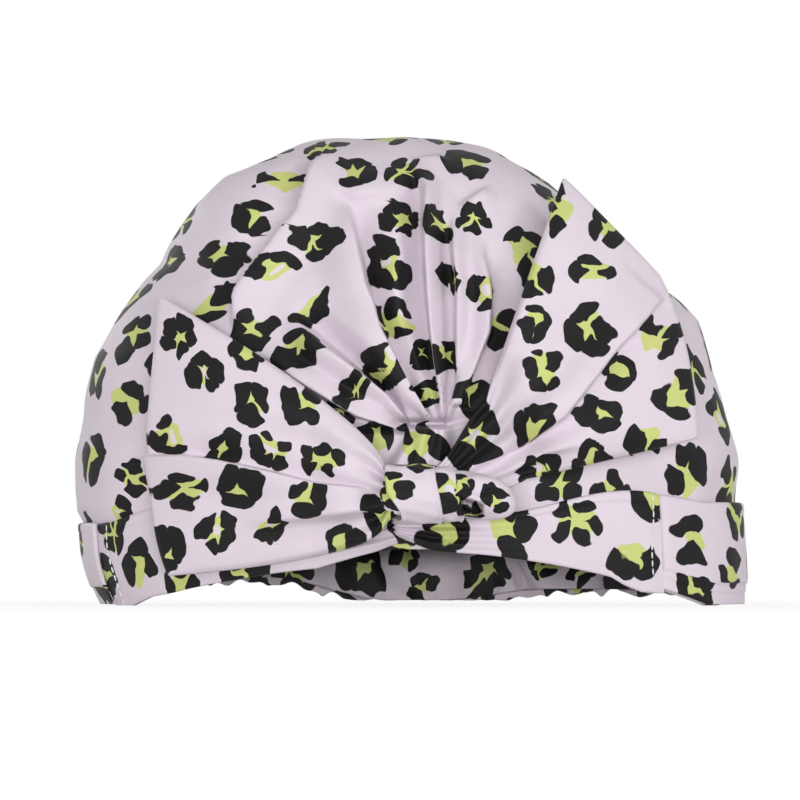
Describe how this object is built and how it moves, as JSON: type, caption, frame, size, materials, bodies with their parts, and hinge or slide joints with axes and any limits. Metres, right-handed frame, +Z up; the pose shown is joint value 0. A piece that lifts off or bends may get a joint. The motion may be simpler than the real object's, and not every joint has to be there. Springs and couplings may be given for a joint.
{
  "type": "shower cap",
  "caption": "Turban-style shower cap: puffed printed crown with a pleated fan, a knotted front band with bow wings, and an elastic rear hem; keeps hair dry.",
  "frame": {"origin": "on the floor under the middle of the cap's bounding box, with the cap standing on its hem", "axes": "+X across the cap to the viewer's right, +Y from the knotted front to the elastic rear, +Z up to the crown's top"},
  "size_m": [0.2878, 0.191, 0.2006],
  "materials": {
    "printed_cloth": "satin polyester, lilac with black rosettes and lime centres",
    "film": "thin soft waterproof film",
    "elastic": "white covered elastic tape",
    "thread": "white sewing thread"
  },
  "bodies": {
    "cap": {"crown_shell": "printed_cloth", "waterproof_film": "film", "lining": "printed_cloth", "front_band_left": "printed_cloth", "front_band_right": "printed_cloth", "side_casing_left": "printed_cloth", "side_casing_right": "printed_cloth", "knot_core": "printed_cloth", "knot_wrap": "printed_cloth", "knot_tail": "printed_cloth", "band_stitch_left": "thread", "band_stitch_right": "thread"},
    "wing_left": {"left_wing": "printed_cloth"},
    "wing_right": {"right_wing": "printed_cloth"},
    "rear_hem": {"rear_casing": "printed_cloth", "rear_elastic": "elastic"}
  },
  "joints": [
    {"name": "left_wing_lift", "type": "hinge", "parent": "cap", "child": "wing_left", "pos_m": [-0.0115, -0.0826, 0.048], "axis": [0, 0, 1], "range_deg": [0, 50], "stiffness_Nm_per_rad": 0.02},
    {"name": "right_wing_lift", "type": "hinge", "parent": "cap", "child": "wing_right", "pos_m": [0.0395, -0.0671, 0.07], "axis": [0.454, 0, -0.891], "range_deg": [0, 50], "stiffness_Nm_per_rad": 0.02},
    {"name": "rear_hem_stretch", "type": "slide", "parent": "cap", "child": "rear_hem", "axis": [0, 1, 0], "range_m": [0, 0.03], "stiffness_N_per_m": 60}
  ]
}
